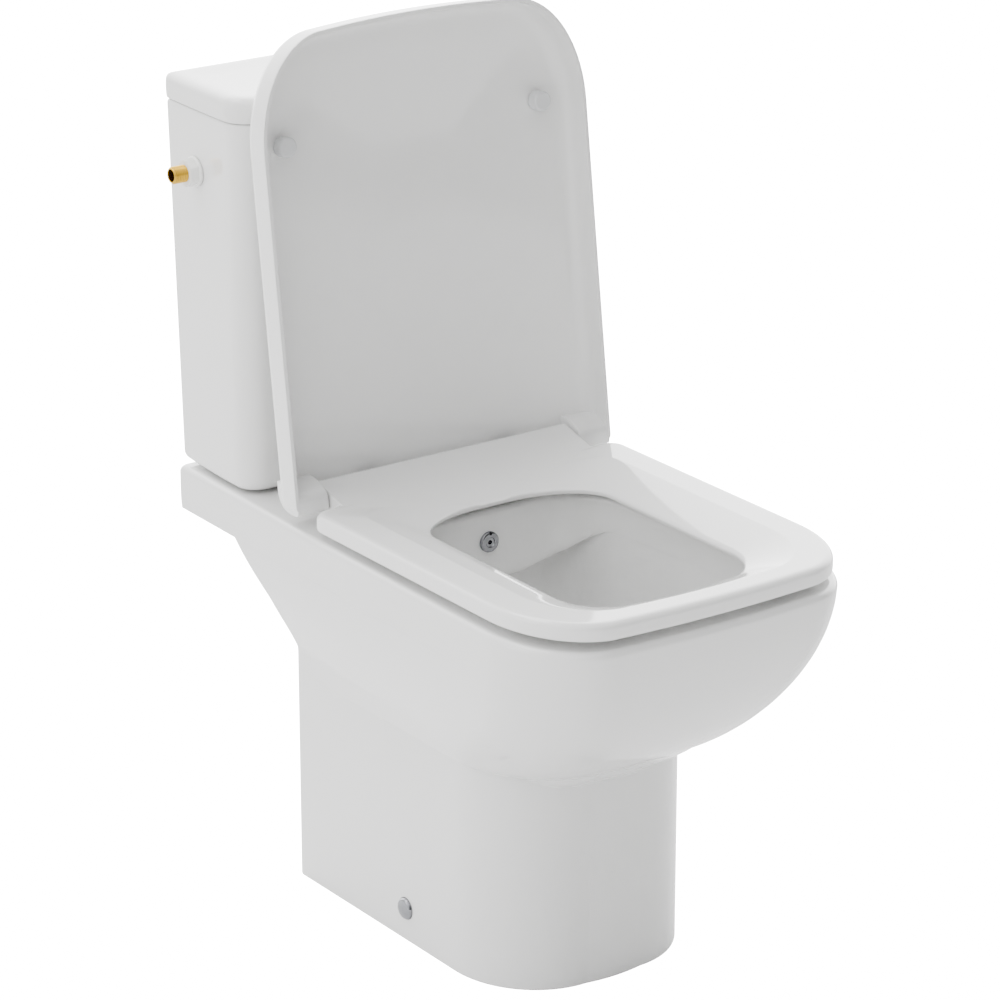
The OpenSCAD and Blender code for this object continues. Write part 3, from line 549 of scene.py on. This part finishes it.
def seat_outline(inset):
    return outline(SEAT_W - inset, SEAT_W - inset, 62 - inset, -SEAT_FRONT + inset, 18 - inset,
                   72 - inset, 102 - inset, 4.25, n=RES)


BRIDGE_X, BARREL_R, EDGE_Z = 143.0, 6.8, SEAT_TOP - 13.6
BACK = RES[0] - 2


def seat_row(inset, z, rear_y, rear_z):
    """One row round the outer edge; behind the seat it follows the hinge barrel between the notches."""
    pts, heights = [], []
    for i, p in enumerate(seat_outline(inset)):
        if i < BACK:
            p = ((BRIDGE_X - inset * 0.12) * i / (BACK - 1), rear_y)
        elif i == BACK:
            p = (BRIDGE_X - inset * 0.12, 64 - inset)
        elif i == BACK + 1:
            p = (BRIDGE_X + 7, 62 - inset)
        pts.append(p)
        heights.append(rear_z if i < BACK else z)
    return ring(pts, heights)


def side_shape(f):
    """Height across the seat at its sides and front: a dished slope up to a crease, then flat."""
    t = min(1.0, max(0.0, (0.56 - f) / 0.56))
    return 1 - (0.93 * t ** 1.1 + 0.07 * t ** 3)


def seat_band(f):
    pts, heights = [], []
    for i, (h, o) in enumerate(zip(hole_outline(0), seat_outline(0))):
        if i < BACK:
            o, top, s, rear = (BRIDGE_X * i / (BACK - 1), HINGE_Y), HINGE_Z + BARREL_R, f / 0.86, 1.0
        else:
            o = (BRIDGE_X + 7 * (i - BACK), 64 - 2 * (i - BACK)) if i < BACK + 2 else o
            top, s, rear = SEAT_TOP, f, 1 - step((i - BACK) / 15)
        pts.append((h[0] + (o[0] - h[0]) * s, h[1] + (o[1] - h[1]) * s))
        long_slope = min(1.0, s / 0.9) ** 1.2 if i >= BACK else s ** 1.25
        heights.append(EDGE_Z + (top - EDGE_Z) * (side_shape(s) * (1 - rear) + long_slope * rear))
    return ring(pts, heights)


below = [(3, 0, 76, 0), (1, 0.4, 79, 0), (0.25, 1.4, 81, 3), (0, 3, 83, 6), (0, 6, 88, 12),
         (0, 9, 94.2, 14.9)]
rows = [seat_row(inset, SEAT_Z + z, y, SEAT_Z + up) for inset, z, y, up in below]
for a, b in zip(np.linspace(0.2, math.pi / 2, 7), np.radians((-80, -45, -10, 20, 48, 72, 90))):
    rows.append(seat_row(7.5 - 7.5 * math.cos(a), SEAT_Z + 10 + 6.6 * math.sin(a),
                         HINGE_Y + BARREL_R * math.cos(b), HINGE_Z + BARREL_R * math.sin(b)))
across = (0.84, 0.79, 0.74, 0.7, 0.66, 0.63, 0.6, 0.58, 0.565, 0.55, 0.535, 0.51, 0.48, 0.44, 0.4, 0.36,
          0.32, 0.28, 0.24, 0.2, 0.16, 0.12, 0.08, 0.05, 0.02)
rows += [seat_band(f) for f in across]
rows += [ring(hole_outline(0.3), EDGE_Z - 0.8), ring(hole_outline(0), EDGE_Z - 2),
         ring(hole_outline(0.6), SEAT_Z - 1), ring(hole_outline(2), SEAT_Z - 2),
         ring(hole_outline(5), SEAT_Z - 1), ring(hole_outline(7), SEAT_Z)]
seat = skin("seat_visual", rows, joined=True)
seat = combine(seat, [rod_cut((-150, HINGE_Y, HINGE_Z), "x", PIN_R + 0.05, 300)], "DIFFERENCE")
for s in (1, -1):
    x0 = s * POST_X - 13
    seat = combine(seat, [rod_cut((x0, HINGE_Y, HINGE_Z), "x", 5.5, 26)], "DIFFERENCE")
    seat = combine(seat, [box_cut((x0, HINGE_Y - 4.6, SEAT_Z - 3), (x0 + 26, HINGE_Y + 35.4, HINGE_Z)),
                          box_cut((x0, HINGE_Y, HINGE_Z - 1), (x0 + 26, HINGE_Y + 20, HINGE_Z + 5))],
                   "DIFFERENCE")
done(seat, "seat_visual", "seatwhite", "seat", ["seat"], sharp=32)

# ---- cover, modelled closed and then turned open ----


def cover_outline(inset, back_y):
    return outline(COVER_W - inset, COVER_W - inset, back_y, -COVER_FRONT + inset, 6, 76 - min(inset, 60),
                   106 - min(inset, 60), 4.25, n=(8, 4, 20, 20, 12))


outer = [(0.6, SEAT_Z - 1), (0.15, SEAT_Z - 0.4), (0, SEAT_Z + 1), (0, 420), (0, 427)]
outer += [(9.5 - 9.5 * math.cos(a), 427.5 + 13.4 * math.sin(a))
          for a in np.linspace(0.12, math.pi / 2 - 0.12, 9)]
outer += [(12, 441.4), (20, 442.5), (36, 443.7), (60, 444.9), (85, 445.8), (110, 446.3), (140, 446.4)]
inner = [(3.8, SEAT_Z - 6), (3.8, 424)]
inner += [(20 - 16.2 * math.cos(a), 424 + 14.7 * math.sin(a))
          for a in np.linspace(0.06, math.pi / 2 - 0.05, 12)]
inner += [(32, 439.7), (60, 441.4), (110, 442.9), (140, 443)]
cover = skin("cover_visual", [ring(cover_outline(i, 112 - min(i, 4) * 0.2), z) for i, z in outer])
hollow = skin("cut", [ring(cover_outline(i, 130), z) for i, z in inner])
cover = combine(cover, [hollow], "DIFFERENCE")
ear_shape = rounded([(-13, 11), (-12.5, 4), (-10, -5), (-5.5, -14), (1, -21.5), (16.5, -21.5), (16.8, -14),
                     (14.6, -3), (11.5, 4), (6, 8.6), (0, 10.8)], 4)
ears = []
for s in (1, -1):
    ear_rows = []
    for x, soft in ((144.5, 1.2), (144.9, 0.4), (145.7, 0), (160, 0), (178.8, 0)):
        centre = np.array((2.0, -5.0))
        ear_rows.append([(s * x, HINGE_Y + centre[0] + (p[0] - centre[0]) * (1 - soft / 12),
                          HINGE_Z + centre[1] + (p[1] - centre[1]) * (1 - soft / 12)) for p in ear_shape])
    ears.append(skin("ear", ear_rows))
cover = combine(cover, ears, "UNION")
pin_holes = [rod_cut((s * 159 - 15.5, HINGE_Y, HINGE_Z), "x", PIN_R + 0.05, 31) for s in (1, -1)]
cover = combine(cover, pin_holes, "DIFFERENCE")
about_hinge(cover, COVER_OPEN)
done(cover, "cover_visual", "seatwhite", "cover", ["cover"], sharp=36)

for side, tag in ((1, "right"), (-1, "left")):
    dome = rounded([(0.02, 0.2), (8, 0.2), (9.4, 1.2), (9.7, 3), (9.7, 12.3), (0.02, 12.3)], 1.2)
    pad = turned("pad", dome, lambda a, b, h, s=side: (s * 143 + a, -223 + b, SEAT_TOP + 0.3 + h))
    about_hinge(pad, COVER_OPEN)
    done(pad, "cover_buffer_" + tag, "buffer", "cover", ["cover_buffers"])
    for y, place in ((-215, "front"), (20, "rear")):
        x = side * (146 if y < 0 else 150)
        pad = turned("pad", rounded([(0.02, 0), (7, 0), (9, 2), (9, SEAT_Z - buf_lo[2] + 0.1),
                                     (0.02, SEAT_Z - buf_lo[2] + 0.1)], 1.2),
                     lambda a, b, h, x=x, y=y: (x + a, y + b, buf_lo[2] + h), 48)
        done(pad, "seat_buffer_%s_%s" % (place, tag), "buffer", "seat", ["seat_buffers"])

# ---- bidet nozzle ----
nozzle_shape = rounded([(0.02, 1.2), (4.4, 1.2), (5, 0), (8.6, 0), (10, 0.9), (10.3, 2.1), (10.3, 4),
                        (8, 4), (8, 75), (0.02, 75)], 0.5)
nozzle = turned("nozzle", nozzle_shape, lambda a, b, h: (a, NOZ_Y + h, NOZ_Z + b), 96)
jet = rod_cut((0, NOZ_Y - 3, NOZ_Z), "y", 2.2, 10, 40)
notch = box_cut((-1.2, NOZ_Y - 2, NOZ_Z + 7.4), (1.2, NOZ_Y + 3, NOZ_Z + 12))
nozzle = combine(nozzle, [jet, notch], "DIFFERENCE")
done(nozzle, "nozzle_visual", "chrome", "pan", ["bidet_nozzle"])

# ---- every carried over CAD node takes the material of its record slot ----
SLOT_OF = {p["node"]: p["material_slot"] for p in frame["record"]["subparts"]}
for name, obj in frame["nodes"].items():
    material = MAT[SLOT_OF[name]]
    obj.data.materials.clear()
    obj.data.materials.append(material)

# ---- floor, light and background ----
TOP_GLOW, BACK_GLOW, LEFT_GLOW, BASE_GLOW = 0.9, 7.5, 2.2, 0.05
BACKDROP_GLOW, FLOOR_GLOW, FLOOR_HALF = 60, 22, 9000
corners = [(x * FLOOR_HALF, y * FLOOR_HALF) for x, y in ((-1, -1), (1, -1), (1, 1), (-1, 1))]
floor = skin("floor", [[(x, y, z) for x, y in corners] for z in (-0.6, -0.3)])
floor_mat = surface("pale_floor", (0.8, 0.8, 0.8), (0.99, 0.99, 0.99), 2, (0.6, 0.7), [(60, 0.02)])
floor_shader = floor_mat.node_tree.nodes["Principled BSDF"]
floor_shader.inputs["Emission Color"].default_value = (1, 1, 1, 1)
floor_path = floor_mat.node_tree.nodes.new("ShaderNodeLightPath")
floor_glow = spread(floor_mat.node_tree, floor_path.outputs["Is Camera Ray"], 0, FLOOR_GLOW)
floor_mat.node_tree.links.new(floor_glow, floor_shader.inputs["Emission Strength"])
floor.data.materials.append(floor_mat)

world = bpy.data.worlds.new("studio")
scene.world = world
world.use_nodes = True
tree = world.node_tree
direction = tree.nodes.new("ShaderNodeTexCoord").outputs["Generated"]


def glow(axis, start, full, strength):
    """Soft patch of sky light round an axis, as a number for each direction."""
    dot = tree.nodes.new("ShaderNodeVectorMath")
    dot.operation = "DOT_PRODUCT"
    tree.links.new(direction, dot.inputs[0])
    dot.inputs[1].default_value = Vector(axis).normalized()
    span = tree.nodes.new("ShaderNodeMapRange")
    span.interpolation_type = "SMOOTHSTEP"
    span.inputs["From Min"].default_value = start
    span.inputs["From Max"].default_value = full
    span.inputs["To Max"].default_value = strength
    tree.links.new(dot.outputs["Value"], span.inputs["Value"])
    return span.outputs["Result"]


total = None
for patch in (glow((0, 0, 1), 0.4, 1.0, TOP_GLOW), glow((0.55, 0.8, 0.2), 0.35, 0.95, BACK_GLOW),
              glow((-1, 0.15, 0.5), 0.1, 0.98, LEFT_GLOW), glow((0, 0, 1), -2.0, -1.5, BASE_GLOW)):
    if total:
        add = tree.nodes.new("ShaderNodeMath")
        add.operation = "ADD"
        tree.links.new(total, add.inputs[0])
        tree.links.new(patch, add.inputs[1])
        total = add.outputs["Value"]
    else:
        total = patch
sky = tree.nodes["Background"]
tree.links.new(total, sky.inputs["Strength"])
sky.inputs["Color"].default_value = (1, 1, 1, 1)
backdrop = tree.nodes.new("ShaderNodeBackground")
backdrop.inputs["Strength"].default_value = BACKDROP_GLOW
seen = tree.nodes.new("ShaderNodeLightPath")
both = tree.nodes.new("ShaderNodeMixShader")
tree.links.new(seen.outputs["Is Camera Ray"], both.inputs["Fac"])
tree.links.new(sky.outputs["Background"], both.inputs[1])
tree.links.new(backdrop.outputs["Background"], both.inputs[2])
tree.links.new(both.outputs["Shader"], tree.nodes["World Output"].inputs["Surface"])


def softbox(name, place, aim, size, watts):
    light = bpy.data.lights.new(name, "AREA")
    light.shape = "RECTANGLE"
    light.size, light.size_y = size
    light.energy = watts
    obj = bpy.data.objects.new(name, light)
    obj.location = place
    obj.rotation_euler = (Vector(aim) - Vector(place)).to_track_quat("-Z", "Y").to_euler()
    scene.collection.objects.link(obj)


softbox("top_light", (-0.7, 0.7, 2.4), (0, -0.1, 0.4), (1.2, 0.7), 15)
softbox("left_light", (-2.6, 0.5, 1.8), (0, 0, 0.5), (0.8, 1.6), 9)

for i in range(4):
    softbox("glint_%d" % i, (-0.9 + 0.42 * i, -1.9 + 0.3 * i, 2.4), (0, -0.1, 0.4), (0.04, 0.04), 1.2)
